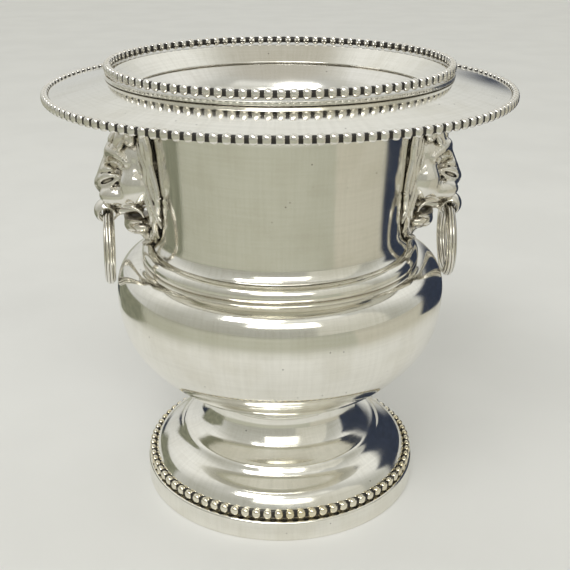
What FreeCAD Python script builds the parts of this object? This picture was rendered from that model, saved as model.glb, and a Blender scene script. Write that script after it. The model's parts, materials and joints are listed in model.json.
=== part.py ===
import FreeCAD, Part
import math
import os

from FreeCAD import Placement, Rotation, Vector

# An urn-shaped champagne bucket in silver plate. Millimetres, +Z up, origin at the
# centre of the foot's underside. The lion masks sit on the -X and +X sides.

# ---- Driving dimensions ----
SHEET = 1.4                 # wall of the spun body
LINER_SHEET = 1.0           # wall of the lift-out liner
STACK_GAP = 0.1             # air between the throat, the liner's lip and the collar

RIM_CIRCLE = 115.0          # bead circle round the edge of the flange
RIM_BEAD_Z = 218.5
COLLAR_CIRCLE = 84.7        # bead circle on top of the loose collar
COLLAR_BEAD_Z = 230.5
COLLAR_TOP_Z = 227.7        # the ledge that carries the collar's beads
COLLAR_LEDGE = 1.95
COLLAR_WALL = 1.2
FOOT_CIRCLE = 73.5          # bead circle round the foot
FOOT_BEAD_Z = 14.3
BEAD_WIDTH = 3.6
BEAD_HEIGHT = 4.8

APRON_RADIUS = 76.0         # upright band at the bottom of the foot
APRON_HEIGHT = 11.0
APRON_WALL = 1.6
APRON_LIP = 4.0             # turned-in edge that the bucket stands on
STEM_RADIUS = 37.8
STEM_TOP_Z = 49.5
BOWL_BOTTOM_Z = 51.5
BOWL_TOP_Z = 131.2
BOWL_RADIUS = 87.0
SHOULDER_RADIUS = 72.7      # groove where the shoulder moulding meets the bowl
SHOULDER_LEAN = (0.55, 1)   # the moulding's direction as it leaves the groove
NECK_BOTTOM_Z = 138.0
NECK_BOTTOM_RADIUS = 67.0
NECK_TOP_Z = 206.0
NECK_TOP_RADIUS = 67.6
NECK_LEAN = (0.28, 1)       # the neck's direction where it meets the flange
THROAT = (75.2, 217.9)      # a point on the conical throat inside the flange (r, z)
THROAT_SLOPE = 42.8         # degrees from level
THROAT_LENGTH = 10.0        # along the cone, up from THROAT
FLANGE_SLOPE = 12.3         # degrees, down towards the edge
BROW_RADIUS = 3.4           # where the throat rolls over into the flange
LINER_RADIUS = 60.5
SHOULDER_INSIDE = LINER_RADIUS + 2.5
LINER_BOTTOM_Z = 72.0

BOLT_RADIUS = 3.9
BOLT_HOLE = 4.2
BOLT_HEAD_FLATS = 13.0
BOLT_HEAD_HEIGHT = 5.3
WASHER_RADIUS = 8.0
WASHER_THICKNESS = 1.6

EYE_RADIUS_OUT = 89.7       # from the bucket's axis to the middle of the ring's hole
EYE_Z = 154.2
EYE_HOLE = 4.0
EYE_BALL = 6.55
EYE_BALL_OFFSET = (0.6, 1.5)   # the ball's centre from the hole's centre (out, up)
EYE_SHANK = 2.6
EYE_SHANK_START = 71.0      # from the bucket's axis
RING_OUTSIDE = 42.0
RING_BAR = 5.8
RING_REEDS = 8
RING_REED_RADIUS = 0.92
RING_LIFT = 0.45            # the bar's middle above the hole's centre
RING_TILT = 1.3             # degrees; the ring hangs just clear of the bowl
RING_TWIST = 5.0            # degrees about the vertical; the ring's front end swings in

CAST_GAP = 0.05             # between a casting and what it is soldered to
UP = Vector(0, 0, 1)
ORIGIN = Vector(0, 0, 0)


def at(radius, height):
    return Vector(radius, 0, height)


def smooth(nodes, start, end):
    spline = Part.BSplineCurve()
    leave = start / start.Length
    arrive = end / end.Length
    spline.interpolate(Points=nodes, InitialTangent=leave, FinalTangent=arrive, Scale=False)
    return spline.toShape()


class Outline:
    """A pen that draws edges in the r-z plane and remembers where it points."""

    def __init__(self, r, z, direction=(1, 0)):
        self.point = at(r, z)
        self.direction = at(*direction)
        self.edges = []

    def add(self, edge):
        self.edges.append(edge)
        self.point = edge.valueAt(edge.LastParameter)
        self.direction = edge.tangentAt(edge.LastParameter)

    def line(self, *points):
        """Straight edges to each point in turn."""
        for point in points:
            self.add(Part.LineSegment(self.point, at(*point)).toShape())
        return self

    def bend(self, r, z):
        """An arc that leaves along the pen's direction and ends at the point."""
        end = at(r, z)
        chord = end - self.point
        along = self.direction / self.direction.Length
        across = chord - along * chord.dot(along)
        across.normalize()
        half_sweep = math.atan2(chord.dot(across), chord.dot(along))
        rise = chord.Length / 2 * math.tan(half_sweep / 2)
        outward = along * math.sin(half_sweep) - across * math.cos(half_sweep)
        self.add(Part.Arc(self.point, self.point + chord / 2 + outward * rise, end).toShape())
        return self

    def curve(self, *points, end):
        """A smooth edge that leaves along the pen's direction, passes the points and arrives along end."""
        nodes = [self.point] + [at(*point) for point in points]
        self.add(smooth(nodes, self.direction, at(*end)))
        return self

    def close(self):
        self.add(Part.LineSegment(self.point, self.edges[0].valueAt(self.edges[0].FirstParameter)).toShape())
        return self


def turned(edges):
    """A solid of revolution about Z from a closed outline."""
    face = Part.Face(Part.Wire(edges))
    return face.revolve(ORIGIN, UP, 360)


def side_step(edge, parameter, wall):
    """The point a wall's thickness to the left of the edge, and the edge's direction there."""
    direction = edge.tangentAt(parameter)
    return edge.valueAt(parameter) + Vector(-direction.z, 0, direction.x) * wall, direction


def parallel(edge, wall):
    """An edge beside the given one, a wall's thickness to its left."""
    first, last = edge.FirstParameter, edge.LastParameter
    if isinstance(edge.Curve, Part.BSplineCurve):
        knots = edge.Curve.getKnots()
        stops = sorted(knots + [(a + b) / 2 for a, b in zip(knots, knots[1:])])
        steps = [side_step(edge, stop, wall) for stop in stops]
        return smooth([point for point, _ in steps], steps[0][1], steps[-1][1])
    steps = [side_step(edge, stop, wall) for stop in (first, (first + last) / 2, last)]
    if isinstance(edge.Curve, Part.Circle):
        return Part.Arc(steps[0][0], steps[1][0], steps[2][0]).toShape()
    return Part.LineSegment(steps[0][0], steps[2][0]).toShape()


def crossing(first, second):
    """Where the lines of two straight edges in the r-z plane meet."""
    a, u = first.Vertexes[0].Point, first.tangentAt(first.FirstParameter)
    b, v = second.Vertexes[0].Point, second.tangentAt(second.FirstParameter)
    reach = ((b.x - a.x) * v.z - (b.z - a.z) * v.x) / (u.x * v.z - u.z * v.x)
    return a + u * reach


def is_straight(edge):
    return isinstance(edge.Curve, Part.Line)


def mitred(edges):
    """Brings the ends of straight edges together at their corners."""
    result = list(edges)
    for number in range(1, len(result)):
        before, after = result[number - 1], result[number]
        if is_straight(before) and is_straight(after):
            corner = crossing(before, after)
            result[number - 1] = Part.LineSegment(before.Vertexes[0].Point, corner).toShape()
            result[number] = Part.LineSegment(corner, after.Vertexes[-1].Point).toShape()
    return result


def spun(edges, wall):
    """A spun sheet: an open outline thickened to its left by wall and turned about Z."""
    far = mitred([parallel(edge, wall) for edge in edges])
    start = Part.LineSegment(far[0].Vertexes[0].Point, edges[0].Vertexes[0].Point).toShape()
    finish = Part.LineSegment(edges[-1].Vertexes[-1].Point, far[-1].Vertexes[-1].Point).toShape()
    return turned(Part.__sortEdges__([start] + edges + [finish] + far))


def box_section(inner, outer, bottom, top):
    return Outline(inner, bottom).line((outer, bottom), (outer, top), (inner, top)).close().edges


def along_throat(distance, lift):
    """A point on a line parallel to the throat's cone, lifted off it into the mouth."""
    slope = math.radians(THROAT_SLOPE)
    r = THROAT[0] + distance * math.cos(slope) - lift * math.sin(slope)
    z = THROAT[1] + distance * math.sin(slope) + lift * math.cos(slope)
    return r, z


THROAT_DIRECTION = (math.cos(math.radians(THROAT_SLOPE)), math.sin(math.radians(THROAT_SLOPE)))


# ---- Foot ----
def foot_apron():
    r = APRON_RADIUS
    top = APRON_HEIGHT
    ledge = top - APRON_WALL
    edge = 1.2
    seat = FOOT_CIRCLE - 4.5
    pen = Outline(r - APRON_LIP, 0)
    pen.line((r, 0), (r, top - edge))
    pen.bend(r - edge, top)
    pen.line((seat, top), (seat, ledge), (r - APRON_WALL, ledge), (r - APRON_WALL, APRON_WALL))
    pen.line((r - APRON_LIP, APRON_WALL))
    return turned(pen.close().edges)


def foot_shell():
    """A dome that rises from the beads to a rounded ridge, then a trumpet up to the stem."""
    plate = FOOT_CIRCLE - BEAD_WIDTH / 2
    pen = Outline(plate, APRON_HEIGHT)
    pen.line((plate, FOOT_BEAD_Z + 0.5))
    pen.curve((70.6, 17.5), (69.2, 19.8), (67.2, 21.7), (63.8, 23.7), (60.2, 25.3), (57.4, 27.0),
              (55.7, 28.9), end=(-0.6, 1))
    pen.bend(52.8, 31.0)
    pen.curve((48.8, 32.2), (44.8, 34.1), (41.9, 37.0), (39.6, 40.7), (38.2, 45.0),
              (STEM_RADIUS, STEM_TOP_Z - 1.5), end=(0, 1))
    pen.line((STEM_RADIUS, STEM_TOP_Z), (BOLT_HOLE, STEM_TOP_Z))
    return spun(pen.edges, SHEET)


def stem_collar():
    shoulder = STEM_RADIUS + 1.0
    pen = Outline(BOLT_HOLE, STEM_TOP_Z)
    pen.line((shoulder, STEM_TOP_Z))
    pen.bend(shoulder, BOWL_BOTTOM_Z)
    pen.line((BOLT_HOLE, BOWL_BOTTOM_Z))
    return turned(pen.close().edges)


# ---- Fixings that clamp the foot to the bowl ----
def hexagon(flats, bottom, height):
    corner = flats / 2 / math.cos(math.pi / 6)
    points = []
    for side in range(7):
        angle = side * math.pi / 3
        points.append(Vector(corner * math.cos(angle), corner * math.sin(angle), bottom))
    return Part.Face(Part.makePolygon(points)).extrude(Vector(0, 0, height))


def foot_bolt():
    seat = BOWL_BOTTOM_Z + SHEET + WASHER_THICKNESS
    end = STEM_TOP_Z - SHEET - WASHER_THICKNESS - BOLT_HEAD_HEIGHT - 3.0
    shank = Part.makeCylinder(BOLT_RADIUS, seat - end + 1.0, at(0, end))
    return shank.fuse(hexagon(BOLT_HEAD_FLATS, seat, BOLT_HEAD_HEIGHT)).removeSplitter()


def foot_nut():
    top = STEM_TOP_Z - SHEET - WASHER_THICKNESS
    body = hexagon(BOLT_HEAD_FLATS, top - BOLT_HEAD_HEIGHT, BOLT_HEAD_HEIGHT)
    thread = Part.makeCylinder(BOLT_RADIUS + CAST_GAP, BOLT_HEAD_HEIGHT, at(0, top - BOLT_HEAD_HEIGHT))
    return body.cut(thread)


def foot_washers():
    upper = BOWL_BOTTOM_Z + SHEET
    lower = STEM_TOP_Z - SHEET - WASHER_THICKNESS
    sections = [box_section(BOLT_HOLE, WASHER_RADIUS, z, z + WASHER_THICKNESS) for z in (upper, lower)]
    return Part.makeCompound([turned(section) for section in sections])


# ---- Body ----
def bowl_shell():
    pen = Outline(BOLT_HOLE, BOWL_BOTTOM_Z)
    pen.line((STEM_RADIUS - 0.5, BOWL_BOTTOM_Z))
    pen.curve((46.0, 55.6), (60.0, 63.6), (72.2, 74.4), (81.0, 86.0), (85.6, 98.5), (BOWL_RADIUS, 112.0),
              (86.1, 121.5), (83.3, 127.0), (78.6, 130.2), (SHOULDER_RADIUS, BOWL_TOP_Z), end=(-1, 0))
    pen.line((SHOULDER_INSIDE, BOWL_TOP_Z))
    return spun(pen.edges, SHEET)


def shoulder_outside(pen, gap=0):
    """Along the bowl's top and up the half-round outside of the shoulder moulding."""
    pen.line((SHOULDER_RADIUS + gap, BOWL_TOP_Z))
    pen.direction = at(*SHOULDER_LEAN)
    pen.bend(NECK_BOTTOM_RADIUS + gap, NECK_BOTTOM_Z)


def shoulder_moulding():
    pen = Outline(SHOULDER_INSIDE, BOWL_TOP_Z)
    shoulder_outside(pen)
    pen.line((SHOULDER_INSIDE, NECK_BOTTOM_Z))
    return turned(pen.close().edges)


def neck_outside(pen, gap=0):
    """The waisted outside of the neck, from the moulding up to the flange."""
    waist = [(64.6, NECK_BOTTOM_Z + 3.4), (63.8, 147.0), (63.9, 160.0), (64.8, 180.0), (66.2, 198.0),
             (NECK_TOP_RADIUS, NECK_TOP_Z)]
    pen.direction = at(-1, 1)
    pen.curve(*[(r + gap, z) for r, z in waist], end=NECK_LEAN)


def neck_shell():
    """The waisted wall; its flared foot is faced off level to stand on the moulding."""
    pen = Outline(NECK_BOTTOM_RADIUS + 1.0, NECK_BOTTOM_Z - 1.0)
    pen.line((NECK_BOTTOM_RADIUS, NECK_BOTTOM_Z))
    neck_outside(pen)
    below = Part.makeCylinder(BOWL_RADIUS, 10.0, at(0, NECK_BOTTOM_Z - 10.0))
    return spun(pen.edges, SHEET).cut(below)


def rim_flange():
    """Drawn along its upper face: up the throat, over its rounded top and out to the edge."""
    lean = at(*NECK_LEAN)
    lean.normalize()
    start = (NECK_TOP_RADIUS - lean.z * SHEET, NECK_TOP_Z + lean.x * SHEET)
    throat_r, throat_z = along_throat(THROAT_LENGTH, 0)
    chord = 2 * BROW_RADIUS * math.sin(math.radians(THROAT_SLOPE + FLANGE_SLOPE) / 2)
    rise = math.radians(THROAT_SLOPE - FLANGE_SLOPE) / 2
    brow_r = throat_r + chord * math.cos(rise)
    brow_z = throat_z + chord * math.sin(rise)
    edge_r = RIM_CIRCLE - BEAD_WIDTH / 2
    pen = Outline(*start, NECK_LEAN)
    pen.curve((69.0, 211.4), THROAT, end=THROAT_DIRECTION)
    pen.line((throat_r, throat_z))
    pen.bend(brow_r, brow_z)
    pen.line((edge_r, brow_z - (edge_r - brow_r) * math.tan(math.radians(FLANGE_SLOPE))))
    return spun(pen.edges, -SHEET)


# ---- Lift-out liner and loose collar ----
def liner_bucket():
    corner = 6.5
    seat = along_throat(0, STACK_GAP)
    pen = Outline(0, LINER_BOTTOM_Z)
    pen.line((LINER_RADIUS - corner, LINER_BOTTOM_Z))
    pen.bend(LINER_RADIUS, LINER_BOTTOM_Z + corner)
    pen.line((LINER_RADIUS, 184.0))
    pen.curve((61.0, 196.0), (64.2, 206.2), (68.6, 211.9), seat, end=THROAT_DIRECTION)
    pen.line(along_throat(THROAT_LENGTH - 1.5, STACK_GAP))
    return spun(pen.edges, LINER_SHEET)


def collar_ring():
    """A conical ring that drops over the liner's lip, with a level ledge that carries the beads."""
    under = 2 * STACK_GAP + LINER_SHEET
    over = under + COLLAR_WALL
    ledge = COLLAR_TOP_Z - COLLAR_LEDGE
    rise = THROAT_DIRECTION[1]
    tip_under = along_throat(0, under)
    tip_over = along_throat(0, over)
    edge = COLLAR_CIRCLE + 1.5
    pen = Outline(*tip_over)
    pen.line(along_throat((COLLAR_TOP_Z - tip_over[1]) / rise, over))
    pen.line((edge, COLLAR_TOP_Z), (edge, ledge))
    pen.line(along_throat((ledge - tip_under[1]) / rise, under), tip_under)
    pen.bend(*tip_over)
    return turned(pen.edges)


# ---- Bead borders, each a plain rod with the outline that its row of beads fills ----
def bead_border(circle, bottom, top):
    inner = circle - BEAD_WIDTH / 2
    outer = circle + BEAD_WIDTH / 2
    shoulder = top - BEAD_WIDTH / 2
    pen = Outline(inner, bottom)
    pen.line((outer, bottom), (outer, shoulder))
    pen.bend(inner, shoulder)
    return turned(pen.close().edges)


def rim_bead_border():
    return bead_border(RIM_CIRCLE, RIM_BEAD_Z - BEAD_HEIGHT / 2, RIM_BEAD_Z + BEAD_HEIGHT / 2)


def collar_bead_border():
    return bead_border(COLLAR_CIRCLE, COLLAR_TOP_Z, COLLAR_BEAD_Z + BEAD_HEIGHT / 2)


def foot_bead_border():
    return bead_border(FOOT_CIRCLE, APRON_HEIGHT, FOOT_BEAD_Z + BEAD_HEIGHT / 2)


# ---- Lion masks and their rings, made on the +X side ----
def mask_section(height, half_width, reach):
    """One level slice of the mask: a bulge of the given reach on a flat back inside the neck."""
    back = 57.0
    steps = 8
    points = []
    for step in range(steps + 1):
        turn = math.pi * step / steps
        out = back + (reach - back) * math.sin(turn) ** 0.9
        points.append(Vector(out, -half_width * math.cos(turn), height))
    front = Part.BSplineCurve()
    front.interpolate(Points=points)
    return Part.Wire([front.toShape(), Part.LineSegment(points[-1], points[0]).toShape()])


def body_envelope():
    """The filled outside of the bucket, which the back of each casting is trimmed to."""
    r, z = THROAT
    pen = Outline(0, BOWL_TOP_Z)
    shoulder_outside(pen, CAST_GAP)
    neck_outside(pen, CAST_GAP)
    pen.line((r + 2.0, z - 1.0), (r + 12.0, z + 9.0), (0, z + 9.0))
    return turned(pen.close().edges)


def lion_mask():
    """A lion's face in outline: beard, chin, open mouth, muzzle, nose and a sloping brow."""
    slices = [(137.5, 3.0, 66.5), (141.0, 7.0, 72.0), (145.5, 10.5, 78.8), (151.5, 14.0, 81.0),
              (158.0, 20.5, 87.5), (164.0, 23.5, 91.0), (171.0, 22.5, 95.2), (179.0, 20.8, 91.8),
              (187.0, 19.2, 88.0), (196.0, 16.2, 82.6), (204.0, 10.5, 75.5)]
    mask = Part.makeLoft([mask_section(*values) for values in slices], True)
    mouth_size = FreeCAD.Matrix()
    mouth_size.scale(15.0, 11.5, 4.6)
    mouth = Part.makeSphere(1.0).transformGeometry(mouth_size)
    mouth.translate(Vector(86.0, 0, EYE_Z + 2.2))
    room = Part.makeSphere(EYE_BALL + 4 * CAST_GAP, ball_centre())
    carved = mask.cut([mouth, room, shank(EYE_SHANK + CAST_GAP), body_envelope()])
    return max(carved.Solids, key=lambda solid: solid.Volume)


def shank(radius):
    start = Vector(EYE_SHANK_START, 0, EYE_Z + EYE_BALL_OFFSET[1])
    return Part.makeCylinder(radius, ball_centre().x - EYE_SHANK_START, start, Vector(1, 0, 0))


def ball_centre():
    return at(EYE_RADIUS_OUT + EYE_BALL_OFFSET[0], EYE_Z + EYE_BALL_OFFSET[1])


def ring_eye():
    """A ball on a shank that grows from the mask's mouth, bored across for the ring."""
    start = Vector(EYE_RADIUS_OUT, -EYE_BALL, EYE_Z)
    hole = Part.makeCylinder(EYE_HOLE, 2 * EYE_BALL, start, Vector(0, 1, 0))
    return Part.makeSphere(EYE_BALL, ball_centre()).fuse(shank(EYE_SHANK)).cut(hole)


def ring_handle():
    """A round bar of fine reeds bent into a ring, which hangs from the eye a little off the vertical."""
    middle = (RING_OUTSIDE - RING_BAR) / 2
    top = EYE_Z + RING_LIFT
    centre = at(EYE_RADIUS_OUT, top - middle)
    reed_circle = RING_BAR / 2 - RING_REED_RADIUS
    across = Vector(1, 0, 0)
    ring = Part.makeTorus(middle, reed_circle, centre, across)
    reeds = []
    for number in range(RING_REEDS):
        turn = 2 * math.pi * (number + 0.5) / RING_REEDS
        beside = centre + across * reed_circle * math.cos(turn)
        reeds.append(Part.makeTorus(middle + reed_circle * math.sin(turn), RING_REED_RADIUS, beside, across))
    ring = ring.multiFuse(reeds)
    ring.rotate(at(EYE_RADIUS_OUT, EYE_Z), Vector(0, -1, 0), RING_TILT)
    ring.rotate(at(EYE_RADIUS_OUT, EYE_Z), UP, -RING_TWIST)
    return ring


def mirrored(shape):
    return shape.mirror(ORIGIN, Vector(1, 0, 0))


def main():
    os.makedirs("parts", exist_ok=True)
    eye = ring_eye()
    mask = lion_mask()
    ring = ring_handle()
    nodes = {
        "foot_apron": foot_apron(),
        "foot_shell": foot_shell(),
        "foot_bead_border": foot_bead_border(),
        "stem_collar": stem_collar(),
        "foot_bolt": foot_bolt(),
        "foot_nut": foot_nut(),
        "foot_washers": foot_washers(),
        "bowl_shell": bowl_shell(),
        "shoulder_moulding": shoulder_moulding(),
        "neck_shell": neck_shell(),
        "rim_flange": rim_flange(),
        "rim_bead_border": rim_bead_border(),
        "liner_bucket": liner_bucket(),
        "collar_ring": collar_ring(),
        "collar_bead_border": collar_bead_border(),
        "right_lion_mask": mask,
        "right_ring_eye": eye,
        "right_ring_handle": ring,
        "left_lion_mask": mirrored(mask),
        "left_ring_eye": mirrored(eye),
        "left_ring_handle": mirrored(ring),
    }
    for name, shape in nodes.items():
        shape.exportStep("parts/" + name + ".step")


main()
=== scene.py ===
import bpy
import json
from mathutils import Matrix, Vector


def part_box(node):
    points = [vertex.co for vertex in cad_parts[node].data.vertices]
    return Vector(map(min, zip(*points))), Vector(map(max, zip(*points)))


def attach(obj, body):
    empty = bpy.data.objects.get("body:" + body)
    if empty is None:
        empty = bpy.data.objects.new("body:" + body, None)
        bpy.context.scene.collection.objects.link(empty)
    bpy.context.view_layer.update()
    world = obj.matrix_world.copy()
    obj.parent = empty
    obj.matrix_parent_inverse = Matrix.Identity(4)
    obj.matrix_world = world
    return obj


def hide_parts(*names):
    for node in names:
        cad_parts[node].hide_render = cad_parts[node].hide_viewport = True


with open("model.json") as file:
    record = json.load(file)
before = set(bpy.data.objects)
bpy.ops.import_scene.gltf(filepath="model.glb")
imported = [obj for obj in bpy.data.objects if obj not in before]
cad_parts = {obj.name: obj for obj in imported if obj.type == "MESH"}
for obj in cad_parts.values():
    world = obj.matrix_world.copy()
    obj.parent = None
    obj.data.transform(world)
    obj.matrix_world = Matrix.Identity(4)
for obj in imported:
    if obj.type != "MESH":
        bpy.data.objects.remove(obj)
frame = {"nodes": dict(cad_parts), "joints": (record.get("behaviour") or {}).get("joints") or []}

import copy
import json
import math

import bpy
import numpy as np
from mathutils import Vector

# An urn-shaped champagne bucket in silver plate, drawn round its CAD frame. Lengths in this
# script are millimetres, and become metres where a mesh is made. "out" is the distance from
# the bucket's axis, "side" runs round it and "up" is the height.

MM = 0.001
TURN = 2 * math.pi
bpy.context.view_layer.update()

# ---- Driving values ----
ROUND_STEPS = 288           # facets round the bucket
PROFILE_STEP = 1.4          # spacing of points along a gentle outline
PROFILE_TURN = 7            # degrees that an outline turns between points on a tight bend
FLAT_TURN = 0.3             # degrees; an outline that turns less than this runs straight
CORNER = 30                 # degrees; an outline turns by more than this only at an edge
EDGE_ROUND = 0.25           # how far an edge is softened
EDGE_DEPTH = 0.3            # how far a softened edge's middle draws back, as a share of its cut
EDGE_PIN = 2.2              # where the surface beside a softened edge is pinned, in cuts
STRAIGHT = 2.5              # a stretch this many times its neighbour's length is a straight one
STRAIGHT_PIN = 0.4          # where a straight stretch is pinned, from its end
SHORT = 0.2                 # the most of a stretch that a cut or a pin takes
SEAM_WIDTH = 0.001
NEAR = 0.01                 # two heights or places closer than this are the same

RIM_BEADS = 138
COLLAR_BEADS = 100
FOOT_BEADS = 80
BEAD_WIDTH = 3.6
BEAD_HEIGHT = 4.8
BEAD_GAP = 0.95             # between neighbouring beads
BEAD_SQUARE = 2.4           # exponent of a bead's outline: 2 is an ellipse, more is squarer
BEAD_PLAN = 0.95            # power that squares a bead's plan a little
BEAD_SIDE_SHADE = 0.8           # painted shade: how dark a bead is where it faces its neighbour
BEAD_UNSHADED = 0.66           # share of a bead's half width that stays bright, without painted shade
BEAD_AROUND = 18
BEAD_RINGS = 11
STRIP_BACK = -1.3           # the strip between the beads, out from their circle
STRIP_FRONT = 0.85
STRIP_HALF_HEIGHT = 1.5
STRIP_BEVEL = (0.25, 0.3)   # out and up
STRIP_STEPS = 3             # facets of the strip for each bead

RING_REEDS = 8
REED_DEPTH = 0.5
REED_CREST = 0.75           # power that broadens a reed's rounded top
REED_TARNISH_AND_SHADE = 1.25          # how dark the grooves between reeds are painted, as tarnish and shade, cut off at 1
REED_CREST_FADE = 1.9            # how fast that fades towards a crest
REED_STEPS = 9              # points across one reed
RING_STEPS = 144

EYE_HOLE = 4.0
EYE_SHANK = 2.6
EYE_OVERLAP = 0.6           # how far the shank runs into the ball
EYE_GAP = 0.1               # round the eye, where it meets the lion's chin
EYE_STEP = 0.16             # grid of the eye's field
MASK_STEP = 0.36            # grid of the lion's field
MASK_TOP_GAP = 1.5          # under the flange
MASK_WALL_GAP = 0.05        # behind the mask, where it meets the neck
CRISP = 0.1                 # blend between two shapes that leaves a clear join


# ---- Pieces ----
def add_object(name, data):
    added = bpy.data.objects.new(name, data)
    bpy.context.scene.collection.objects.link(added)
    return added


def new_piece(name, points, faces, material, body, node, recess=None):
    """A smooth piece of the object from points in millimetres. It rides on body and stands for node."""
    mesh = bpy.data.meshes.new(name)
    mesh.from_pydata((np.asarray(points) * MM).tolist(), [], faces)
    mesh.polygons.foreach_set("use_smooth", [True] * len(mesh.polygons))
    if recess is not None:
        attribute = mesh.attributes.new("recess", "FLOAT", "POINT")
        attribute.data.foreach_set("value", np.asarray(recess, np.float32))
    mesh.materials.append(material)
    mesh.update()
    piece = add_object(name, mesh)
    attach(piece, body)
    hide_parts(node)
    return piece


def hoop(steps, size, start=0):
    """Quads between neighbours in a closed run of rings, each of size points, from point number start on."""
    ring = np.arange(size)
    along = (ring + 1) % size
    quads = []
    for step in range(steps):
        a, b = start + step * size, start + (step + 1) % steps * size
        quads.append(np.stack([a + ring, b + ring, b + along, a + along], axis=1))
    return np.concatenate(quads)


def corners(node):
    """A CAD node's lowest and highest corners in millimetres."""
    low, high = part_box(node)
    return np.array(low) / MM, np.array(high) / MM


# ---- Turned pieces, from the outlines of their CAD nodes ----
def seam_links(node):
    """The points of a turned node's mesh on its seam, as (out, up), with the points that each one joins."""
    mesh = frame["nodes"][node].data
    points = np.array([vertex.co for vertex in mesh.vertices]) / MM
    on_seam = (np.abs(points[:, 1]) < SEAM_WIDTH) & (points[:, 0] > 0)
    keys = [(round(float(x), 3), round(float(z), 3)) for x, _, z in points]
    links = {key: set() for key, inside in zip(keys, on_seam) if inside}
    for edge in mesh.edges:
        a, b = edge.vertices
        if on_seam[a] and on_seam[b] and keys[a] != keys[b]:
            links[keys[a]].add(keys[b])
            links[keys[b]].add(keys[a])
    return links


def outline(node):
    """A turned node's closed outline as (out, up) points, and whether it keeps clear of the axis. A level
    face has no seam, so loose ends at one height are joined, and an end with no partner runs to the axis."""
    links = seam_links(node)
    loose = sorted((key for key, joined in links.items() if len(joined) == 1), key=lambda key: key[1])
    while loose:
        first = loose.pop()
        partner = next((key for key in loose if abs(key[1] - first[1]) < NEAR), None)
        if partner:
            loose.remove(partner)
        else:
            partner = (0.0, first[1])
            links[partner] = set()
        links[first].add(partner)
        links[partner].add(first)
    ends = [key for key, joined in links.items() if len(joined) == 1]
    path = [min(ends or links)]
    while True:
        onward = [key for key in links[path[-1]] if key not in path]
        if not onward:
            return np.array(path), not ends
        path.append(min(onward, key=lambda key: math.dist(key, path[-1])))


def soften(path, closed):
    """Rounds each sharp corner, and pins each straight stretch near its ends so that it shades flat."""
    result = []
    for number, here in enumerate(path):
        if not closed and number in (0, len(path) - 1):
            result.append(here)
            continue
        back = path[number - 1] - here
        onward = path[(number + 1) % len(path)] - here
        back_length, onward_length = np.linalg.norm(back), np.linalg.norm(onward)
        back, onward = back / back_length, onward / onward_length
        if math.degrees(math.acos(np.clip(-back @ onward, -1, 1))) > CORNER:
            cut = min(EDGE_ROUND, SHORT * back_length, SHORT * onward_length)
            middle = here + (back + onward) * cut * EDGE_DEPTH
            result += [here + back * cut * EDGE_PIN, here + back * cut, middle, here + onward * cut,
                       here + onward * cut * EDGE_PIN]
            continue
        pin = min(STRAIGHT_PIN, SHORT * max(back_length, onward_length))
        if back_length > STRAIGHT * onward_length:
            result.append(here + back * pin)
        result.append(here)
        if onward_length > STRAIGHT * back_length:
            result.append(here + onward * pin)
    return np.array(result)


def flowing(path, closed):
    """Adds points along the bends of an outline, on cubic curves through its points."""
    count = len(path)
    steps = np.diff(path, axis=0, append=path[:1])
    lengths = np.linalg.norm(steps, axis=1)
    units = steps / lengths[:, None]
    before_units, before_lengths = np.roll(units, 1, 0), np.roll(lengths, 1)
    tangents = before_units * lengths[:, None] + units * before_lengths[:, None]
    tangents /= np.linalg.norm(tangents, axis=1)[:, None]
    if not closed:
        tangents[0], tangents[-1] = units[0], units[-2]
    result = []
    for number in range(count if closed else count - 1):
        start, end = path[number], path[(number + 1) % count]
        leave, arrive = tangents[number], tangents[(number + 1) % count]
        turn = math.degrees(math.acos(np.clip(leave @ arrive, -1, 1)))
        pieces = math.ceil(max(turn / PROFILE_TURN, lengths[number] / PROFILE_STEP)) if turn > FLAT_TURN else 1
        for t in np.arange(pieces) / pieces:
            ends = start * (1 - t) ** 2 * (1 + 2 * t) + end * t ** 2 * (3 - 2 * t)
            bulge = leave * t * (1 - t) ** 2 - arrive * t ** 2 * (1 - t)
            result.append(ends + bulge * lengths[number])
    if not closed:
        result.append(path[-1])
    return np.array(result)


def turned(name, node, material, body):
    """A turned piece that stands for its CAD node, with softened edges."""
    path, closed = outline(node)
    path = flowing(soften(path, closed), closed)
    doubled_area = np.sum(path[:, 0] * np.roll(path[:, 1], -1) - np.roll(path[:, 0], -1) * path[:, 1])
    if doubled_area < 0:
        path = path[::-1]
    on_axis = path[:, 0] < NEAR
    angles = np.arange(ROUND_STEPS) * TURN / ROUND_STEPS
    points, rings = [], []
    for (out, up), centre in zip(path, on_axis):
        rings.append(len(points))
        if centre:
            points.append((0, 0, up))
        else:
            points += [(out * math.cos(a), out * math.sin(a), up) for a in angles]
    faces = []
    for number in range(len(path) if closed else len(path) - 1):
        after = (number + 1) % len(path)
        a, b = rings[number], rings[after]
        for step in range(ROUND_STEPS):
            turn_on = (step + 1) % ROUND_STEPS
            if on_axis[number]:
                faces.append((a, b + step, b + turn_on)[::-1])
            elif on_axis[after]:
                faces.append((a + step, a + turn_on, b))
            else:
                faces.append((a + step, a + turn_on, b + turn_on, b + step))
    return new_piece(name, points, faces, material, body, node)


# ---- Bead borders ----
def power(value, exponent):
    return np.sign(value) * np.abs(value) ** exponent


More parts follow.
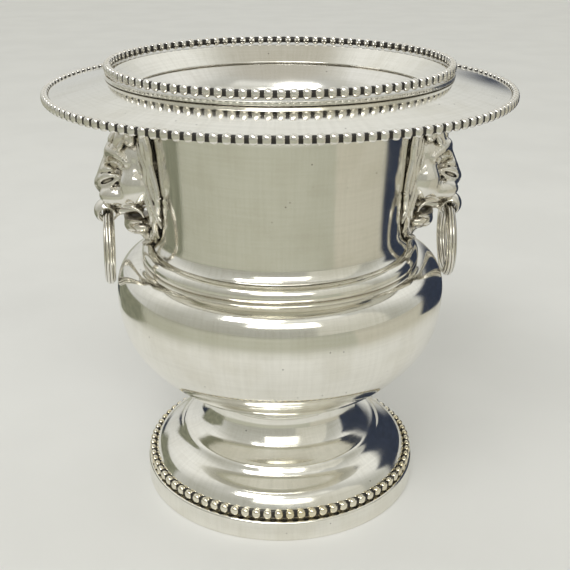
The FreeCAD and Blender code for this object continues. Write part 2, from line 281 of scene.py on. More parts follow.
def bead_shape(half_out, half_side, half_up):
    """One bead as points, quads and recess: a rounded barrel, with painted shade where it faces its
    neighbours.
    """
    rise = np.linspace(-math.pi / 2, math.pi / 2, BEAD_RINGS)[:, None]
    around = (np.arange(BEAD_AROUND) * TURN / BEAD_AROUND)[None, :]
    soft = 2 / BEAD_SQUARE
    level = power(np.cos(rise), soft)
    out = half_out * level * power(np.cos(around), BEAD_PLAN)
    side = half_side * level * power(np.sin(around), BEAD_PLAN)
    up = half_up * power(np.sin(rise), soft) + 0 * around
    points = np.stack([out, side, up], axis=-1)
    ring = np.arange(BEAD_AROUND)
    quads = []
    for row in range(BEAD_RINGS - 1):
        a = row * BEAD_AROUND + ring
        b = row * BEAD_AROUND + (ring + 1) % BEAD_AROUND
        quads.append(np.stack([a, b, b + BEAD_AROUND, a + BEAD_AROUND], axis=1))
    # Painted shade on the bead's sides, where it faces its neighbours.
    recess = BEAD_SIDE_SHADE * np.clip((np.abs(side) / half_side - BEAD_UNSHADED) / (1 - BEAD_UNSHADED), 0, 1) ** 2
    return points.reshape(-1, 3), np.concatenate(quads), recess.ravel()


def bead_border(name, node, count, material, body):
    """A row of beads on a strip painted dark, as tarnish and shade, in the place of the CAD rod."""
    low, high = corners(node)
    circle = high[0] - BEAD_WIDTH / 2
    middle = high[2] - BEAD_HEIGHT / 2
    half_side = (TURN * circle / count - BEAD_GAP) / 2
    bead, quads, shade = bead_shape(BEAD_WIDTH / 2, half_side, BEAD_HEIGHT / 2)
    points, faces, recess = [], [], []
    for number in range(count):
        angle = number * TURN / count
        cos, sin = math.cos(angle), math.sin(angle)
        out, side, up = bead[:, 0] + circle, bead[:, 1], bead[:, 2] + middle
        faces.append(quads + len(bead) * number)
        points.append(np.stack([out * cos - side * sin, out * sin + side * cos, up], axis=1))
        recess.append(shade)
    bevel_out, bevel_up = STRIP_BEVEL
    base = max(low[2] - middle, -STRIP_HALF_HEIGHT)
    bevel_base = max(low[2] - middle, bevel_up - STRIP_HALF_HEIGHT)
    section = [(STRIP_BACK, base), (STRIP_FRONT - bevel_out, base), (STRIP_FRONT, bevel_base),
               (STRIP_FRONT, STRIP_HALF_HEIGHT - bevel_up), (STRIP_FRONT - bevel_out, STRIP_HALF_HEIGHT),
               (STRIP_BACK, STRIP_HALF_HEIGHT)]
    steps = STRIP_STEPS * count
    for number in range(steps):
        angle = number * TURN / steps
        ring = [((circle + out) * math.cos(angle), (circle + out) * math.sin(angle), middle + up)
                for out, up in section]
        points.append(np.array(ring))
    faces.append(hoop(steps, len(section), len(bead) * count))
    # The strip is fully recessed: painted dark as tarnish and shade between the beads.
    recess.append(np.ones(steps * len(section)))
    faces = np.concatenate(faces).tolist()
    return new_piece(name, np.concatenate(points), faces, material, body, node, recess=np.concatenate(recess))


# ---- Fields: solids drawn as signed distances on a grid, for the cast pieces ----
FAR = 30.0                  # the distance that an empty field holds
REACH = 3.0                 # how far round a shape its distances are worked out


class Ball:
    """An ellipsoid."""

    def __init__(self, centre, radii):
        self.centre = np.array(centre, float)
        self.radii = np.array(radii, float)
        self.low = self.centre - self.radii
        self.high = self.centre + self.radii

    def distance(self, *grid):
        near = sum(((axis - c) / r) ** 2 for axis, c, r in zip(grid, self.centre, self.radii))
        steep = sum(((axis - c) / r ** 2) ** 2 for axis, c, r in zip(grid, self.centre, self.radii))
        near = np.sqrt(near)
        return near * (near - 1) / np.maximum(np.sqrt(steep), 1e-6)


class Strand:
    """A round lock whose thickness changes along a smooth line through its points."""

    def __init__(self, points, radii, pieces=5):
        points = np.array(points, float)
        knots = np.arange(len(points))
        fine = np.linspace(0, len(points) - 1, (len(points) - 1) * pieces + 1)
        padded = np.vstack([2 * points[0] - points[1], points, 2 * points[-1] - points[-2]])
        self.line = np.array([self.between(padded, t) for t in fine])
        self.radii = np.interp(fine, knots, np.broadcast_to(radii, len(points)))
        self.low = self.line.min(0) - self.radii.max()
        self.high = self.line.max(0) + self.radii.max()

    @staticmethod
    def between(padded, t):
        number = min(int(t), len(padded) - 4)
        t = t - number
        a, b, c, d = padded[number:number + 4]
        return b + 0.5 * t * (c - a + t * (2 * a - 5 * b + 4 * c - d + t * (3 * (b - c) + d - a)))

    def distance(self, *grid):
        nearest = FAR
        for a, b, first, last in zip(self.line, self.line[1:], self.radii, self.radii[1:]):
            along = b - a
            share = sum((axis - p) * q for axis, p, q in zip(grid, a, along)) / (along @ along)
            share = np.clip(share, 0, 1)
            gap = np.sqrt(sum((axis - p - share * q) ** 2 for axis, p, q in zip(grid, a, along)))
            nearest = np.minimum(nearest, gap - first - share * (last - first))
        return nearest


class Field:
    """Distances to a solid, below zero inside it, on a grid of out, side and up."""

    def __init__(self, low, high, step):
        self.low = np.array(low, float)
        self.step = step
        self.axes = [np.arange(a, b, step) for a, b in zip(low, high)]
        self.values = np.full([len(axis) for axis in self.axes], FAR, np.float32)

    def window(self, shape, margin):
        spans = []
        for axis, low, high in zip(self.axes, shape.low, shape.high):
            spans.append(slice(*np.searchsorted(axis, (low - margin, high + margin))))
        grid = np.ix_(*(axis[span] for axis, span in zip(self.axes, spans)))
        return tuple(spans), shape.distance(*grid)

    def merge(self, shape, blend):
        spans, distance = self.window(shape, REACH + blend)
        here = self.values[spans]
        overlap = np.maximum(blend - np.abs(here - distance), 0) / blend
        self.values[spans] = np.minimum(here, distance) - overlap ** 2 * blend / 4

    def carve(self, shape, blend):
        spans, distance = self.window(shape, REACH + blend)
        here = self.values[spans]
        overlap = np.maximum(blend - np.abs(here + distance), 0) / blend
        self.values[spans] = np.maximum(here, -distance) + overlap ** 2 * blend / 4

    def keep(self, distance):
        """Keeps only what is also inside another solid, given by its distances on the whole grid."""
        self.values = np.maximum(self.values, distance).astype(np.float32)

    def doubled(self):
        """The field joined to its mirror image; its first layer along side is the mirror."""
        whole = Field.__new__(Field)
        whole.step = self.step
        whole.axes = [self.axes[0], np.concatenate([-self.axes[1][:0:-1], self.axes[1]]), self.axes[2]]
        whole.low = np.array([axis[0] for axis in whole.axes])
        whole.values = np.concatenate([self.values[:, :0:-1], self.values], axis=1)
        return whole

    def at(self, points):
        """The distances at points, from the eight grid values round each one."""
        place = (points - self.low) / self.step
        place = np.clip(place, 0, np.array(self.values.shape) - 1.001)
        cell = place.astype(int)
        share = place - cell
        result = np.zeros(len(points))
        for corner in np.ndindex(2, 2, 2):
            weight = np.prod(np.where(corner, share, 1 - share), axis=1)
            result += weight * self.values[tuple((cell + corner).T)]
        return result

    def skin(self):
        """The solid's surface as points and quads, one point in each grid cell that it crosses."""
        values = self.values
        cells = tuple(size - 1 for size in values.shape)
        total = np.zeros(cells + (3,), np.float32)
        crossings = np.zeros(cells, np.float32)
        for axis in range(3):
            across = [other for other in range(3) if other != axis]
            for a in (0, 1):
                for b in (0, 1):
                    spans = [None] * 3
                    spans[axis] = slice(0, -1)
                    spans[across[0]] = slice(a, cells[across[0]] + a)
                    spans[across[1]] = slice(b, cells[across[1]] + b)
                    near = values[tuple(spans)]
                    spans[axis] = slice(1, None)
                    far = values[tuple(spans)]
                    cut = (near < 0) != (far < 0)
                    share = np.where(cut, near / np.where(cut, near - far, 1), 0)
                    total[..., axis] += share
                    total[..., across[0]] += a * cut
                    total[..., across[1]] += b * cut
                    crossings += cut
        used = crossings > 0
        number = np.full(cells, -1)
        number[used] = np.arange(used.sum())
        points = (np.argwhere(used) + total[used] / crossings[used][:, None]) * self.step + self.low
        quads = []
        for axis in range(3):
            first, second = (axis + 1) % 3, (axis + 2) % 3
            spans = [slice(1, -1)] * 3
            spans[axis] = slice(0, -1)
            near = values[tuple(spans)] < 0
            spans[axis] = slice(1, None)
            far = values[tuple(spans)] < 0
            for flip in (False, True):
                edges = np.argwhere((far & ~near) if flip else (near & ~far))
                offset = np.ones(3, int)
                offset[axis] = 0
                edges = edges + offset
                steps = np.zeros((4, 3), int)
                steps[1, first] = steps[2, first] = -1
                steps[2, second] = steps[3, second] = -1
                ring = [number[tuple((edges + step).T)] for step in steps]
                quads.append(np.stack(ring if flip else ring[::-1], axis=1))
        return points, np.concatenate(quads)[:, ::-1]


# ---- Ring handles ----
def ring_handle(name, node, material, body):
    """A bar of fine reeds bent into a ring, laid in the plane of its CAD node."""
    mesh = frame["nodes"][node].data
    cloud = np.array([vertex.co for vertex in mesh.vertices]) / MM
    _, _, axes = np.linalg.svd(cloud - cloud.mean(0), full_matrices=False)
    spread = cloud @ axes.T
    low, high = spread.min(0), spread.max(0)
    centre = (low + high) / 2 @ axes
    bar = (high[2] - low[2]) / 2
    middle = (high[0] - low[0]) / 2 - bar
    turns = np.arange(RING_REEDS * REED_STEPS) * TURN / (RING_REEDS * REED_STEPS)
    crest = np.abs(np.sin(RING_REEDS * turns / 2)) ** REED_CREST
    reach_out = bar - REED_DEPTH * (1 - crest)
    points = []
    for step in range(RING_STEPS):
        angle = step * TURN / RING_STEPS
        spoke = axes[0] * math.cos(angle) + axes[1] * math.sin(angle)
        across = np.outer(middle + reach_out * np.cos(turns), spoke)
        points.append(centre + across + np.outer(reach_out * np.sin(turns), axes[2]))
    faces = hoop(RING_STEPS, len(turns))
    if np.linalg.det(axes) > 0:
        faces = faces[:, ::-1]
    # Tarnish and painted shade in the grooves between reeds, fading towards each crest.
    recess = np.tile(np.clip(REED_TARNISH_AND_SHADE - crest * REED_CREST_FADE, 0, 1), RING_STEPS)
    return new_piece(name, np.concatenate(points), faces.tolist(), material, body, node, recess=recess)


# ---- Castings on the +X side, and their mirror images ----
OCCLUSION_DEPTHS = (0.5, 1.0, 1.8, 3.0)     # how far out from the surface the casting is felt for
OCCLUSION_LIMIT = 1.4                       # the most that one of them counts
HOLLOW_SHADE = 0.62                        # painted shade: how dark it is inside a hollow
HOLLOW_FADE = 1.5                           # how far outside the hollow it fades out


def occlusion(field, points, normals):
    """How shut in each point of a surface is, from 0 in the open to 1 in a deep recess."""
    shut = np.zeros(len(points))
    for depth in OCCLUSION_DEPTHS:
        shut += np.clip(1 - field.at(points + normals * depth) / depth, 0, OCCLUSION_LIMIT)
    return np.clip(shut / len(OCCLUSION_DEPTHS), 0, 1)


def cast_pair(field, right_name, left_name, right_node, left_node, material, hollow=None):
    """A casting from its field, on the right, and its mirror image on the left. hollow gets painted shade
    inside.
    """
    points, quads = field.skin()
    recess = np.zeros(len(points))
    piece = new_piece(right_name, points, quads.tolist(), material, "body", right_node, recess=recess)
    normals = np.array([vertex.normal for vertex in piece.data.vertices])
    # The recess paints tarnish and shade into the casting's colour where it is shut in.
    recess = occlusion(field, points, normals)
    # Painted shade inside the mouth's hollow.
    if hollow:
        depth = -hollow.distance(points[:, 0], points[:, 1], points[:, 2])
        recess = np.maximum(recess, HOLLOW_SHADE * np.clip(depth / HOLLOW_FADE + 1, 0, 1))
    piece.data.attributes["recess"].data.foreach_set("value", recess.astype(np.float32))
    mirrored = points * np.array([-1, 1, 1])
    return new_piece(left_name, mirrored, quads[:, ::-1].tolist(), material, "body", left_node, recess=recess)


def ring_hinge():
    """The middle of the right ring's hole, from its joint."""
    joint = next(joint for joint in frame["joints"] if joint["child"] == "right_ring")
    return np.array(joint["pos_m"]) / MM


def eye_ball():
    """Centre and radius of the ball that holds the right ring."""
    low, high = corners("right_ring_eye")
    radius = (high[2] - low[2]) / 2
    return np.array([high[0] - radius, 0, high[2] - radius]), radius


def ring_eyes(material):
    centre, radius = eye_ball()
    low, high = corners("right_ring_eye")
    hinge = ring_hinge()
    margin = 4 * EYE_STEP
    field_low = (low[0] - margin, 0, low[2] - margin)
    field_high = (high[0] + margin, radius + margin, high[2] + margin)
    field = Field(field_low, field_high, EYE_STEP)
    field.merge(Ball(centre, (radius,) * 3), CRISP)
    shank = [(low[0] + EYE_SHANK, 0, centre[2]), (centre[0] - radius + EYE_OVERLAP, 0, centre[2])]
    field.merge(Strand(shank, EYE_SHANK), blend=1.6)
    hole = Strand([hinge, hinge + np.array([0, 2 * radius, 0])], EYE_HOLE)
    field.carve(hole, blend=0.7)
    return cast_pair(field.doubled(), "right_eye", "left_eye", "right_ring_eye", "left_ring_eye", material)


def reach(path, heights):
    """How far out a closed outline goes at each height, or 0 where it doesn't."""
    far = np.zeros_like(heights)
    for a, b in zip(path, np.roll(path, -1, axis=0)):
        if a[1] != b[1]:
            share = (heights - a[1]) / (b[1] - a[1])
            out = np.where((share >= 0) & (share <= 1), a[0] + share * (b[0] - a[0]), 0)
            far = np.maximum(far, out)
    return far


def wall(heights):
    """The outside of the bucket behind the masks at each height."""
    heights = np.asarray(heights, float)
    outlines = [outline(node)[0] for node in ("shoulder_moulding", "neck_shell", "rim_flange")]
    return np.maximum.reduce([reach(path, heights) for path in outlines])


class Plate:
    """The raised ground that the mane is cut on: it lies on the neck and thins towards its edge."""

    def __init__(self, origin, low, high):
        self.origin, self.low, self.high = origin, low, high

    def distance(self, out, side, up):
        rise = up - self.origin[2]
        levels, half_widths, heights = np.array(PLATE).T
        half_width = np.interp(rise, levels, half_widths)
        height = np.interp(rise, levels, heights)
        lift = np.hypot(out, side) - wall(up.ravel()).reshape(up.shape)
        dome = np.sqrt(np.clip(1 - (side / half_width) ** 2, 0, 1))
        beyond = np.clip(np.abs(side) - half_width, 0, None)
        return PLATE_SOFT * (lift - height * dome) + beyond


# The plate's level, half width and thickness, from the beard's tip up to the flange.
PLATE = [(-17.5, 0.8, 0.4), (-12.0, 4.5, 1.4), (-6.0, 9.0, 2.4), (0.0, 13.5, 3.2), (5.0, 16.5, 3.8),
         (12.0, 18.5, 4.2), (25.0, 17.0, 4.6), (40.0, 14.5, 4.4), (50.0, 10.5, 3.4)]
PLATE_SOFT = 0.8            # keeps the plate's distances true where it slopes
MASK_LOW = (-12.0, 0, -19.0)
MASK_HIGH = (34.0, 27.0, 51.5)

# The face: out from the neck's waist, to the side and up from the ring's hinge. Where a shape has its
# own blend, that comes after it.
FACE_MASSES = [
    (Ball((7.0, 0, 31.0), (14.0, 14.6, 14.0)), 2.5),
    (Ball((9.0, 9.8, 17.5), (9.5, 8.4, 11.0)), 4.0),
    (Strand([(17.0, 2.2, 33.0), (21.4, 3.0, 25.0), (25.4, 2.6, 17.6)], [6.2, 5.4, 4.6]), 4.0),
    (Strand([(18.8, 0, 33.0), (23.2, 0, 24.5), (26.6, 0, 17.6)], [5.6, 5.0, 4.5]), 3.0),
    (Ball((17.2, 7.2, 12.0), (11.6, 7.0, 6.2)), 1.6),
    (Strand([(27.4, 0, 16.0), (25.0, 0, 11.0), (22.4, 0, 7.6)], [4.2, 3.6, 2.8]), 1.6),
    (Ball((8.4, 0, -5.4), (9.0, 11.6, 5.4)), 2.5),
    (Ball((12.0, 0, -5.2), (4.6, 6.8, 4.4)), 3.5),
    (Ball((4.0, 0, -10.5), (5.5, 5.5, 5.5)), 3.0),
]
BROW = Strand([(22.6, 2.2, 33.8), (21.4, 5.6, 34.8), (18.0, 9.6, 33.6), (13.8, 12.8, 29.8)],
              [2.4, 3.1, 2.8, 1.2])
BROW_SPLIT = Strand([(25.6, 0, 30.0), (25.0, 0, 34.6), (22.6, 0, 39.4)], [0.2, 1.0, 0.4])
SOCKET = Ball((20.4, 9.0, 28.4), (5.4, 4.8, 2.8))
EYEBALL = Ball((16.2, 8.4, 28.0), (2.7, 3.1, 2.0))
LIDS = [
    Strand([(19.6, 7.4, 29.6), (18.2, 9.2, 30.4), (15.8, 10.9, 29.6), (13.6, 12.4, 27.2)],
           [0.3, 0.8, 0.8, 0.3]),
    Strand([(18.8, 8.2, 26.8), (16.8, 10.2, 26.2), (14.8, 11.6, 26.6), (13.6, 12.4, 27.2)],
           [0.3, 0.7, 0.7, 0.3]),
]
# Soft folds up the side of the nose, then the grooves between them.
FOLDS = [
    (Strand([(27.4, 3.6, 22.8), (25.4, 6.0, 25.0), (22.4, 7.8, 25.6)], [0.7, 1.3, 0.6]), 2.4),
    (Strand([(29.0, 3.8, 18.6), (26.8, 6.4, 20.8), (23.0, 8.6, 22.2), (19.0, 10.2, 22.8)],
            [0.9, 1.4, 1.2, 0.4]), 2.0),
    (Strand([(28.4, 4.4, 15.4), (25.6, 7.0, 16.6), (22.0, 9.0, 18.6), (18.4, 10.4, 21.2)],
            [0.9, 1.3, 1.1, 0.4]), 2.0),
]
GROOVES = [
    Strand([(28.6, 3.4, 20.8), (26.4, 6.4, 23.0), (22.4, 8.6, 24.0)], [0.2, 0.45, 0.2]),
    Strand([(28.2, 5.2, 17.2), (25.6, 7.8, 18.8), (21.6, 9.8, 20.6)], [0.2, 0.75, 0.3]),
    Strand([(26.4, 7.0, 14.6), (22.8, 9.2, 15.8), (19.0, 10.8, 18.2)], [0.2, 0.45, 0.2]),
]
NOSTRIL = Ball((31.2, 2.9, 14.8), (2.4, 1.5, 1.2))
NOSE_SPLIT = Strand([(32.4, 0, 13.6), (29.4, 0, 9.6), (26.4, 0, 5.8)], [0.3, 0.7, 0.5])
MOUTH = Ball((15.6, 0, 2.6), (15.0, 16.4, 4.1))
LIPS = [
    (Strand([(24.6, 3.0, 6.6), (21.6, 7.4, 6.7), (17.0, 11.2, 6.9), (11.6, 14.0, 6.8), (7.8, 15.2, 5.0),
             (6.4, 15.0, 2.0)], [0.3, 0.8, 0.9, 0.9, 0.9, 0.5]), 1.6),
    (Strand([(16.4, 0, -1.4), (15.2, 5.0, -1.4), (11.8, 9.6, -1.3), (8.0, 12.8, -1.2)],
            [1.3, 1.3, 1.2, 0.8]), 2.4),
]
EAR = Ball((11.4, 12.6, 41.6), (3.0, 2.8, 3.8))
EAR_HOLLOW = Ball((13.2, 14.2, 41.8), (2.0, 1.6, 2.4))
# Tufts that rise from the brow and roll back, with a broad smooth one beside the middle.
FORELOCKS = [
    (Strand([(22.8, 0, 36.2), (21.8, 0.6, 39.4), (18.8, 1.0, 42.8), (14.6, 0.8, 46.4)],
            [0.4, 1.6, 2.0, 1.8]), 0.5),
    (Strand([(22.2, 2.6, 36.8), (20.8, 3.6, 39.8), (17.4, 4.0, 43.6), (13.0, 3.8, 47.6)],
            [0.4, 1.7, 2.1, 1.8]), 0.5),
    (Strand([(18.6, 7.6, 37.4), (15.6, 8.2, 41.8), (11.2, 8.4, 46.4)], [2.0, 3.6, 3.0]), 1.4),
    (Strand([(18.0, 11.0, 34.2), (16.6, 11.4, 37.4), (14.6, 11.4, 40.4)], [0.4, 1.4, 0.8]), 0.7),
]
# The mane and beard: side, up, and the height of the lock's middle above the wall.
LOCKS = [
    ([(8.0, 49, 3.0), (14.4, 44, 2.8), (17.4, 37, 2.8), (17.2, 30, 2.8), (19.0, 22, 2.0), (21.4, 14.2, 1.4),
      (23.6, 14.4, 1.0)], [1.2, 1.9, 2.1, 1.9, 1.8, 1.2, 0.4]),
    ([(10.0, 47, 5.2), (14.8, 42, 4.8), (15.4, 35, 4.6), (17.4, 28, 3.4), (17.4, 21, 3.6), (19.6, 13, 2.6),
      (22.0, 8.6, 1.2)], [1.0, 1.6, 1.8, 1.7, 1.7, 1.4, 0.4]),
    ([(13.4, 40, 6.8), (14.2, 34, 6.2), (16.2, 27, 4.8), (15.4, 20, 5.4), (17.4, 12, 4.2), (19.4, 5, 2.8),
      (21.4, 1.8, 1.0)], [0.5, 1.4, 1.7, 1.7, 1.7, 1.4, 0.4]),
    ([(13.2, 33, 8.4), (14.6, 27, 7.2), (13.8, 20, 7.0), (15.6, 13, 6.2), (17.4, 6, 4.8), (16.8, 0.8, 4.4),
      (14.9, -1.4, 4.6), (13.9, -0.2, 5.0), (14.6, 1.2, 5.0)], [0.5, 1.4, 1.5, 1.6, 1.5, 1.3, 1.0, 0.8, 0.4]),
    ([(18.6, 25, 1.8), (20.6, 17, 1.6), (20.2, 9, 1.8), (19.0, 2.4, 1.8), (20.4, -2.4, 0.8)],
     [0.8, 1.5, 1.6, 1.4, 0.4]),
    ([(18.0, 6, 3.0), (17.4, 0, 3.0), (15.2, -5.4, 2.6), (14.6, -9.6, 0.8)], [0.8, 1.6, 1.6, 0.4]),
    ([(15.6, -3.0, 3.0), (13.6, -7.0, 2.8), (10.6, -10.4, 2.2), (9.4, -13.8, 0.8)], [0.8, 1.6, 1.6, 0.4]),
    ([(12.2, -6.6, 4.0), (9.2, -10.2, 3.4), (5.8, -13.2, 2.4), (4.4, -16.2, 1.0)], [0.8, 1.7, 1.6, 0.4]),
    ([(7.0, -9.4, 5.0), (4.8, -12.2, 4.0), (2.4, -14.8, 2.8), (0.8, -17.0, 1.4)], [0.8, 1.6, 1.4, 0.4]),
]


def placed(shape, offset):
    """A copy of a face shape, moved to where the face sits."""
    shape = copy.copy(shape)
    shape.low = shape.low + offset
    shape.high = shape.high + offset
    if isinstance(shape, Ball):
        shape.centre = shape.centre + offset
    else:
        shape.line = shape.line + offset
    return shape


def mane_lock(points, radii, origin):
    """A lock that follows the wall of the neck."""
    side, rise, lift = np.array(points, float).T
    up = rise + origin[2]
    out = np.sqrt((wall(up) + lift) ** 2 - side ** 2)
    return Strand(np.stack([out, side, up], axis=1), radii)


def lion_masks(material):
    hinge = ring_hinge()
    waist = float(wall(hinge[2:])[0])
    origin = np.array([waist, 0, hinge[2]])
    low, high = origin + np.array(MASK_LOW), origin + np.array(MASK_HIGH)
    field = Field(low, high, MASK_STEP)
    field.merge(Plate(origin, low, high), CRISP)
    for shape, blend in FACE_MASSES:
        field.merge(placed(shape, origin), blend)
    field.merge(placed(BROW, origin), blend=2.6)
    field.carve(placed(BROW_SPLIT, origin), blend=1.6)
    field.carve(placed(SOCKET, origin), blend=2.0)
    field.merge(placed(EYEBALL, origin), blend=0.3)
    for lid in LIDS:
        field.merge(placed(lid, origin), blend=0.6)
    for fold, blend in FOLDS:
        field.merge(placed(fold, origin), blend)
    for groove in GROOVES:
        field.carve(placed(groove, origin), blend=0.7)
    field.carve(placed(NOSTRIL, origin), blend=0.7)
    field.carve(placed(NOSE_SPLIT, origin), blend=0.6)
    mouth = placed(MOUTH, origin)
    field.carve(mouth, blend=1.0)
    for lip, blend in LIPS:
        field.merge(placed(lip, origin), blend)
    for lock, blend in FORELOCKS:
        field.merge(placed(lock, origin), blend)
    field.merge(placed(EAR, origin), blend=0.8)
    field.carve(placed(EAR_HOLLOW, origin), blend=0.8)
    for points, radii in LOCKS:
        field.merge(mane_lock(points, radii, origin), blend=0.5)
    centre, radius = eye_ball()
    field.carve(Ball(centre, (radius + EYE_GAP,) * 3), 2 * EYE_GAP)
    out, side, up = np.ix_(*field.axes)
    surface = wall(field.axes[2])[None, None, :]
    top = corners("rim_flange")[0][2] - MASK_TOP_GAP
    field.keep(np.maximum(surface + MASK_WALL_GAP - np.hypot(out, side), up - top))
    names = ("right_lion", "left_lion", "right_lion_mask", "left_lion_mask")
    return cast_pair(field.doubled(), *names, material, hollow=mouth)


# ---- Materials ----
class Nodes:
    """A material's node tree, with short calls for the nodes that are used again and again."""

    def __init__(self, tree):
        self.tree = tree

    def add(self, kind, **settings):
        node = self.tree.nodes.new(kind)
        for name, value in settings.items():
            setattr(node, name, value)
        return node

    def feed(self, socket, value):
        if isinstance(value, bpy.types.NodeSocket):
            self.tree.links.new(value, socket)
        else:
            socket.default_value = value

    def maths(self, operation, *values, clamp=False):
        node = self.add("ShaderNodeMath", operation=operation, use_clamp=clamp)
        for socket, value in zip(node.inputs, values):
            self.feed(socket, value)
        return node.outputs[0]

    def span(self, value, low, high, start=0.0, end=1.0, kind="SMOOTHSTEP"):
        node = self.add("ShaderNodeMapRange", interpolation_type=kind)
        for socket, item in zip(node.inputs, (value, low, high, start, end)):
            self.feed(socket, item)
        return node.outputs[0]

    def mix(self, share, first, second):
        node = self.add("ShaderNodeMix", data_type="RGBA")
        self.feed(node.inputs["Factor"], share)
        self.feed(node.inputs[6], first)
        self.feed(node.inputs[7], second)
        return node.outputs[2]

    def noise(self, vector, scale, detail=2.0, roughness=0.5):
        node = self.add("ShaderNodeTexNoise")
        self.feed(node.inputs["Vector"], vector)
        for name, value in (("Scale", scale), ("Detail", detail), ("Roughness", roughness)):
            node.inputs[name].default_value = value
        return node.outputs["Fac"]

    def vector(self, *values):
        node = self.add("ShaderNodeCombineXYZ")
        for socket, value in zip(node.inputs, values):
            self.feed(socket, value)
        return node.outputs[0]

    def parts(self, vector):
        node = self.add("ShaderNodeSeparateXYZ")
        self.feed(node.inputs[0], vector)
        return node.outputs

    def times(self, first, second, clamp=False):
        return self.maths("MULTIPLY", first, second, clamp=clamp)

    def plus(self, first, second):
        return self.maths("ADD", first, second)

    def minus(self, first, second):
        return self.maths("SUBTRACT", first, second)

    def hypotenuse(self, x, y):
        return self.maths("SQRT", self.plus(self.times(x, x), self.times(y, y)))

    def azimuth(self, x, y):
        """Degrees from the front towards +X."""
        return self.maths("DEGREES", self.maths("ARCTAN2", x, self.times(y, -1.0)))

    def bump(self, height, strength, distance):
        node = self.add("ShaderNodeBump")
        node.inputs["Strength"].default_value = strength
        node.inputs["Distance"].default_value = distance
        self.feed(node.inputs["Height"], height)
        return node.outputs[0]


def new_material(name):
    """A new material with its nodes and its shader."""
    material = bpy.data.materials.new(name)
    material.use_nodes = True
    nodes = Nodes(material.node_tree)
    return material, nodes, material.node_tree.nodes["Principled BSDF"]


STREAKS = 0.26              # how much the streaks tell
STREAK_COLOUR = (0.62, 0.60, 0.53, 1)
SCRATCH_COLOUR = (0.60, 0.58, 0.52, 1)
PIT_COLOUR = (0.10, 0.09, 0.075, 1)
PIT_DEPTH = 0.02
WARM_TARNISH = (0.50, 0.42, 0.29, 1)
# Tarnish and painted shade, mixed in where a piece is shut in.
DARK_TARNISH_AND_SHADE = (0.030, 0.027, 0.024, 1)
CLOSE_BY = 2.5              # how near another surface has to be to count as a corner
SCRATCH_DIRECTIONS = ((0.9, 0.3, 1.0), (-0.5, 0.9, 0.7), (0.3, -0.8, 1.3))


